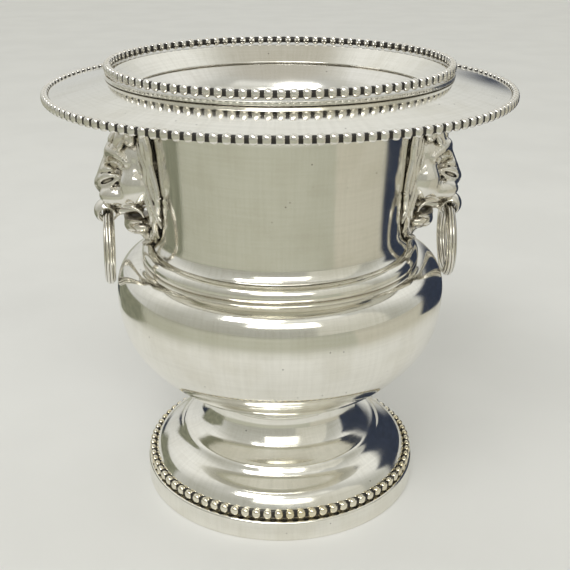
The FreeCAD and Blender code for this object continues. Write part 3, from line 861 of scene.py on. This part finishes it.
def silver(name, tint, dull, roughness, lines, dents, recess, tarnish_and_shade):
    """Silver plate. lines, dents: depth in millimetres of the polishing lines and of the hand-worked
    waviness. recess: whether the piece stores how shut in it is. The last sets how dark recesses are painted,
    as tarnish and shade."""
    material, nodes, shader = new_material(name)
    scale = nodes.add("ShaderNodeVectorMath", operation="SCALE")
    nodes.feed(scale.inputs[0], nodes.add("ShaderNodeTexCoord").outputs["Object"])
    scale.inputs["Scale"].default_value = 1 / MM
    place = scale.outputs[0]
    x, y, z = nodes.parts(place)
    lathe = nodes.vector(nodes.times(nodes.maths("ARCTAN2", y, x), 2.0), nodes.hypotenuse(x, y), z)

    # Height, in millimetres: lathe and polishing lines run round, dents are broad and shallow.
    round_lines = nodes.noise(lathe, 2.2, 3.0, 0.7)
    waves = nodes.noise(place, 0.035, 2.0, 0.4)
    ripple = nodes.noise(place, 0.16, 2.0, 0.5)
    grain = nodes.noise(place, 2.4, 4.0, 0.6)

    # Hairline scratches lie across the lathe lines in a few directions.
    scratches = 0.0
    for number, (a, b, c) in enumerate(SCRATCH_DIRECTIONS):
        across = nodes.plus(nodes.plus(nodes.times(x, a), nodes.times(y, b)), nodes.times(z, c))
        along = nodes.minus(nodes.times(z, 0.06), nodes.times(x, 0.05 * b))
        streak = nodes.noise(nodes.vector(nodes.times(across, 1.6), along, 7.0 * number), 1.0, 2.0, 0.6)
        scratches = nodes.maths("MAXIMUM", scratches, nodes.span(streak, 0.70, 0.76))

    # Tiny pits, and cloudy patches where the polish has dulled.
    cells = nodes.add("ShaderNodeTexVoronoi", feature="F1")
    nodes.feed(cells.inputs["Vector"], place)
    cells.inputs["Scale"].default_value = 0.11
    pit = nodes.span(cells.outputs["Distance"], 0.02, 0.055, 1.0, 0.0)
    cloud = nodes.span(nodes.noise(place, 0.045, 5.0, 0.6), 0.42, 0.68)

    height = nodes.times(round_lines, lines)
    height = nodes.plus(height, nodes.times(waves, dents * 6))
    height = nodes.plus(height, nodes.times(ripple, dents))
    height = nodes.plus(height, nodes.times(grain, lines * 0.5))
    height = nodes.minus(height, nodes.times(scratches, lines * 0.7))
    height = nodes.minus(height, nodes.times(pit, PIT_DEPTH))
    nodes.feed(shader.inputs["Normal"], nodes.bump(height, 1.0, MM))

    # Broader lines, level from the lathe and upright from rubbing, show faintly as streaks in the colour.
    level = nodes.span(nodes.noise(lathe, 0.7, 4.0, 0.75), 0.38, 0.64, 0.0, 0.5)
    rubbed = nodes.vector(nodes.times(nodes.maths("ARCTAN2", y, x), 70.0), 0.0, nodes.times(z, 0.04))
    upright = nodes.span(nodes.noise(rubbed, 0.6, 4.0, 0.75), 0.38, 0.64, 0.0, 0.5)
    streaks = nodes.plus(level, upright)
    colour = nodes.mix(cloud, (*tint, 1), (*dull, 1))
    colour = nodes.mix(nodes.times(streaks, STREAKS), colour, STREAK_COLOUR)
    colour = nodes.mix(nodes.times(scratches, 0.22), colour, SCRATCH_COLOUR)
    colour = nodes.mix(nodes.times(pit, 0.8), colour, PIT_COLOUR)
    # Tarnish and painted shade: the colour darkens where the piece is shut in, by its stored recess or else by
    # ambient occlusion.
    if recess:
        shut = nodes.add("ShaderNodeAttribute", attribute_name="recess").outputs["Fac"]
        patchy = nodes.plus(shut, nodes.span(grain, 0.3, 0.7, -0.10, 0.10))
        dark = nodes.times(nodes.span(patchy, 0.30, 0.88), tarnish_and_shade, clamp=True)
        warm = nodes.span(patchy, 0.12, 0.5, 0.0, 0.45)
    else:
        closeness = nodes.add("ShaderNodeAmbientOcclusion", samples=6)
        closeness.inputs["Distance"].default_value = CLOSE_BY * MM
        shut = nodes.minus(1.0, closeness.outputs["AO"])
        dark = nodes.times(nodes.span(shut, 0.5, 1.0), tarnish_and_shade, clamp=True)
        warm = nodes.span(shut, 0.25, 0.8, 0.0, 0.4)
    colour = nodes.mix(warm, colour, WARM_TARNISH)
    colour = nodes.mix(dark, colour, DARK_TARNISH_AND_SHADE)
    nodes.feed(shader.inputs["Base Color"], colour)

    rough = nodes.span(cloud, 0.0, 1.0, roughness * 0.8, roughness * 1.5, kind="LINEAR")
    rough = nodes.plus(rough, nodes.times(scratches, 0.12))
    rough = nodes.plus(rough, nodes.times(streaks, 0.05))
    rough = nodes.plus(rough, nodes.times(dark, 0.38))
    nodes.feed(shader.inputs["Roughness"], rough)
    nodes.feed(shader.inputs["Metallic"], nodes.minus(1.0, nodes.times(dark, 0.55)))
    return material


def fixing_steel():
    """Plain turned steel with faint rings and a little dull staining, for the parts inside."""
    material, nodes, shader = new_material("fixing_steel")
    place = nodes.add("ShaderNodeTexCoord").outputs["Object"]
    rings = nodes.add("ShaderNodeTexWave", wave_type="RINGS", rings_direction="Z")
    nodes.feed(rings.inputs["Vector"], place)
    rings.inputs["Scale"].default_value = 900.0
    rings.inputs["Distortion"].default_value = 0.6
    stain = nodes.span(nodes.noise(place, 180.0, 5.0, 0.6), 0.4, 0.7)
    nodes.feed(shader.inputs["Base Color"], nodes.mix(stain, (0.58, 0.57, 0.55, 1), (0.40, 0.37, 0.33, 1)))
    nodes.feed(shader.inputs["Roughness"], nodes.span(stain, 0.0, 1.0, 0.28, 0.48))
    shader.inputs["Metallic"].default_value = 1.0
    nodes.feed(shader.inputs["Normal"], nodes.bump(rings.outputs["Fac"], 0.2, 0.03 * MM))
    return material


# ---- Floor, light and camera ----
FLOOR_SIZE = 6.0                # metres from the bucket to the floor's edge
FLOOR_COLOURS = ((0.72, 0.72, 0.705, 1), (0.75, 0.75, 0.735, 1))
TABLE_END = (0.24, 0.36)        # metres from the bucket where its silver sees the pale table give way
ROOM_COLOURS = ((0.43, 0.432, 0.365, 1), (0.54, 0.52, 0.45, 1))     # left, and right by the window
WINDOW_SIDE = (41.0, 45.0)      # azimuth where the one gives way to the other


def floor():
    """A wide pale table top. Only its reflections show the dimmer room in front of it."""
    mesh = bpy.data.meshes.new("floor")
    square = [(-FLOOR_SIZE, -FLOOR_SIZE, 0), (FLOOR_SIZE, -FLOOR_SIZE, 0), (FLOOR_SIZE, FLOOR_SIZE, 0),
              (-FLOOR_SIZE, FLOOR_SIZE, 0)]
    mesh.from_pydata(square, [], [(0, 1, 2, 3)])
    material, nodes, shader = new_material("floor")
    place = nodes.add("ShaderNodeTexCoord").outputs["Object"]
    pale = nodes.mix(nodes.span(nodes.noise(place, 9.0, 3.0), 0.3, 0.7), *FLOOR_COLOURS)
    x, y, _ = nodes.parts(place)
    dim = nodes.mix(nodes.span(nodes.azimuth(x, y), *WINDOW_SIDE), *ROOM_COLOURS)
    mirrored = nodes.add("ShaderNodeLightPath").outputs["Is Glossy Ray"]
    room = nodes.times(nodes.span(nodes.hypotenuse(x, y), *TABLE_END), mirrored)
    nodes.feed(shader.inputs["Base Color"], nodes.mix(room, pale, dim))
    shader.inputs["Roughness"].default_value = 0.75
    mesh.materials.append(material)
    add_object("floor", mesh)


# Soft boxes on the studio's sky: azimuth from the front towards +X and height, in degrees, as
# (low, high) pairs, then softness and brightness.
SOFT_BOXES = [
    ((-27, 24), (27, 46), 2.0, (2.9, 2.9, 2.8)),
    ((-50, 60), (52, 64), 4.0, (0.3, 0.3, 0.29)),
    ((20, 72), (-30, 50), 2.0, (0.16, 0.15, 0.125)),
]


def studio_sky():
    """A plain pale backdrop to the camera, and a studio with soft boxes to everything else."""
    world = bpy.data.worlds.new("studio")
    bpy.context.scene.world = world
    world.use_nodes = True
    nodes = Nodes(world.node_tree)
    world.node_tree.nodes.clear()
    x, y, z = nodes.parts(nodes.add("ShaderNodeTexCoord").outputs["Generated"])
    azimuth = nodes.azimuth(x, y)
    height = nodes.maths("DEGREES", nodes.maths("ARCSINE", z))

    def inside(value, low, high, soft):
        rising = nodes.span(value, low - soft, low + soft)
        falling = nodes.span(value, high - soft, high + soft, 1.0, 0.0)
        return nodes.times(rising, falling)

    def box(sides, heights, soft):
        return nodes.times(inside(azimuth, *sides, soft), inside(height, *heights, soft))

    room = nodes.mix(nodes.span(height, 0.0, 60.0), (0.42, 0.42, 0.37, 1), (0.56, 0.56, 0.52, 1))
    pale_wall = nodes.mix(nodes.span(height, 0.0, 50.0), (0.62, 0.625, 0.60, 1), (0.86, 0.86, 0.82, 1))
    sky = nodes.mix(nodes.span(nodes.maths("ABSOLUTE", azimuth), 75.0, 125.0), room, pale_wall)
    sky = nodes.mix(nodes.span(height, 60.0, 78.0), sky, (0.54, 0.52, 0.455, 1))
    for sides, heights, soft, light in SOFT_BOXES:
        added = nodes.add("ShaderNodeMix", data_type="RGBA", blend_type="ADD")
        nodes.feed(added.inputs["Factor"], box(sides, heights, soft))
        nodes.feed(added.inputs[6], sky)
        nodes.feed(added.inputs[7], (*light, 1))
        sky = added.outputs[2]
    camera_ray = nodes.add("ShaderNodeLightPath").outputs["Is Camera Ray"]
    sky = nodes.mix(camera_ray, sky, (0.60, 0.615, 0.61, 1))
    background = nodes.add("ShaderNodeBackground")
    nodes.feed(background.inputs["Color"], sky)
    output = nodes.add("ShaderNodeOutputWorld")
    nodes.feed(output.inputs["Surface"], background.outputs[0])


# Cards that show only in the silver: start and end on the table as (x, y), height, all in metres, and
# colour.
NAVY = (0.022, 0.033, 0.068)
GREY_GREEN = (0.27, 0.28, 0.215)
CARDS = [
    ((0.15, 0.27), (0.41, 0.02), 0.28, NAVY),
    ((-0.36, 0.10), (-0.15, 0.30), 0.06, NAVY),
    ((-0.34, 0.02), (-0.18, 0.22), 0.13, GREY_GREEN),
]
CARD_UNEVEN = (0.4, 0.6)        # shares of twice its colour that a card varies between
CARD_SIDES = 0.16               # share of a card's width over which each upright edge fades
CARD_TOP = 0.82                 # share of its height where it starts to fade


def dark_cards():
    """Cards with soft edges beside the bucket, which give the silver its dark edges."""
    for number, (start, end, top, colour) in enumerate(CARDS):
        material, nodes, shader = new_material(f"card_{number}")
        place = nodes.add("ShaderNodeTexCoord")
        cloth = nodes.span(nodes.noise(place.outputs["Object"], 40.0, 3.0), 0.3, 0.7, *CARD_UNEVEN)
        doubled = [2 * part for part in colour] + [1]
        nodes.feed(shader.inputs["Base Color"], nodes.mix(cloth, (0, 0, 0, 1), doubled))
        shader.inputs["Roughness"].default_value = 0.9
        along, _, up = nodes.parts(place.outputs["Generated"])
        rising = nodes.span(along, 0.0, CARD_SIDES)
        falling = nodes.span(along, 1 - CARD_SIDES, 1.0, 1.0, 0.0)
        fading = nodes.span(up, CARD_TOP, 1.0, 1.0, 0.0)
        nodes.feed(shader.inputs["Alpha"], nodes.times(nodes.times(rising, falling), fading))
        mesh = bpy.data.meshes.new("card")
        mesh.from_pydata([(*start, 0), (*end, 0), (*end, top), (*start, top)], [], [(0, 1, 2, 3)])
        mesh.materials.append(material)
        card = add_object(f"card_{number}", mesh)
        card.visible_camera = card.visible_diffuse = card.visible_shadow = False


KEY_PLACE = (-0.5, -0.9, 1.5)   # metres; it faces the foot of the bucket
KEY_SIZE = (0.9, 0.6)           # metres
KEY_POWER = 9.0                 # watts


def key_light():
    """One large soft lamp over the camera, which gives the floor a soft shadow."""
    lamp = bpy.data.lights.new("key", "AREA")
    lamp.shape = "RECTANGLE"
    lamp.size, lamp.size_y = KEY_SIZE
    lamp.energy = KEY_POWER
    holder = add_object("key", lamp)
    holder.location = KEY_PLACE
    holder.rotation_euler = (-Vector(KEY_PLACE)).to_track_quat("-Z", "Y").to_euler()


CAMERA_DISTANCE = 467.0     # from the bucket's axis, level
CAMERA_HEIGHT = 302.0
CAMERA_AZIMUTH = -4.0
CAMERA_PITCH = 22.24        # degrees below level
CAMERA_LENS = 58.5
CAMERA_SENSOR = 36.0
CAMERA_SHIFT = 0.00877      # as a share of the picture's width


def camera():
    lens = bpy.data.cameras.new("camera")
    lens.lens = CAMERA_LENS
    lens.sensor_width = CAMERA_SENSOR
    lens.shift_x = CAMERA_SHIFT
    holder = add_object("camera", lens)
    azimuth = math.radians(CAMERA_AZIMUTH)
    x, y = math.sin(azimuth) * CAMERA_DISTANCE, -math.cos(azimuth) * CAMERA_DISTANCE
    holder.location = Vector((x, y, CAMERA_HEIGHT)) * MM
    holder.rotation_euler = (math.radians(90 - CAMERA_PITCH), 0, azimuth)
    bpy.context.scene.camera = holder


# Each silver's tint and that of its dull patches, roughness, depth of lines and of dents, whether it
# reads the stored recess, and how dark its recesses are painted, as tarnish and shade.
SILVERS = {
    "polished_silver": ((0.92, 0.905, 0.85), (0.86, 0.84, 0.77), 0.085, 0.0022, 0.010, False, 0.45),
    "liner_silver": ((0.88, 0.865, 0.83), (0.82, 0.80, 0.75), 0.13, 0.0022, 0.010, False, 0.7),
    "bead_silver": ((0.90, 0.88, 0.84), (0.80, 0.77, 0.70), 0.12, 0.0010, 0.006, True, 1.0),
    "foot_bead_silver": ((0.88, 0.83, 0.69), (0.80, 0.71, 0.49), 0.12, 0.0010, 0.006, True, 1.0),
    "cast_silver": ((0.88, 0.86, 0.81), (0.80, 0.76, 0.68), 0.13, 0.0015, 0.02, True, 0.97),
}
# Piece, CAD node, body and silver.
TURNED = [
    ("apron", "foot_apron", "body", "polished_silver"),
    ("foot", "foot_shell", "body", "polished_silver"),
    ("stem", "stem_collar", "body", "polished_silver"),
    ("bowl", "bowl_shell", "body", "polished_silver"),
    ("shoulder", "shoulder_moulding", "body", "polished_silver"),
    ("neck", "neck_shell", "body", "polished_silver"),
    ("flange", "rim_flange", "body", "polished_silver"),
    ("collar", "collar_ring", "collar", "polished_silver"),
    ("liner", "liner_bucket", "liner", "liner_silver"),
]
# Piece, CAD node, beads, body and silver.
BORDERS = [
    ("rim_beads", "rim_bead_border", RIM_BEADS, "body", "bead_silver"),
    ("collar_beads", "collar_bead_border", COLLAR_BEADS, "collar", "bead_silver"),
    ("foot_beads", "foot_bead_border", FOOT_BEADS, "body", "foot_bead_silver"),
]


def main():
    silvers = {name: silver(name, *look) for name, look in SILVERS.items()}
    for name, node, body, look in TURNED:
        turned(name, node, silvers[look], body)
    for name, node, count, body, look in BORDERS:
        bead_border(name, node, count, silvers[look], body)
    cast = silvers["cast_silver"]
    for side in ("right", "left"):
        ring_handle(side + "_ring_bar", side + "_ring_handle", cast, side + "_ring")
    ring_eyes(cast)
    lion_masks(cast)
    steel = fixing_steel()
    for node in ("foot_bolt", "foot_nut", "foot_washers"):
        frame["nodes"][node].data.materials.clear()
        frame["nodes"][node].data.materials.append(steel)
    floor()
    studio_sky()
    dark_cards()
    key_light()
    camera()
    bpy.context.scene.view_settings.view_transform = "Standard"


main()
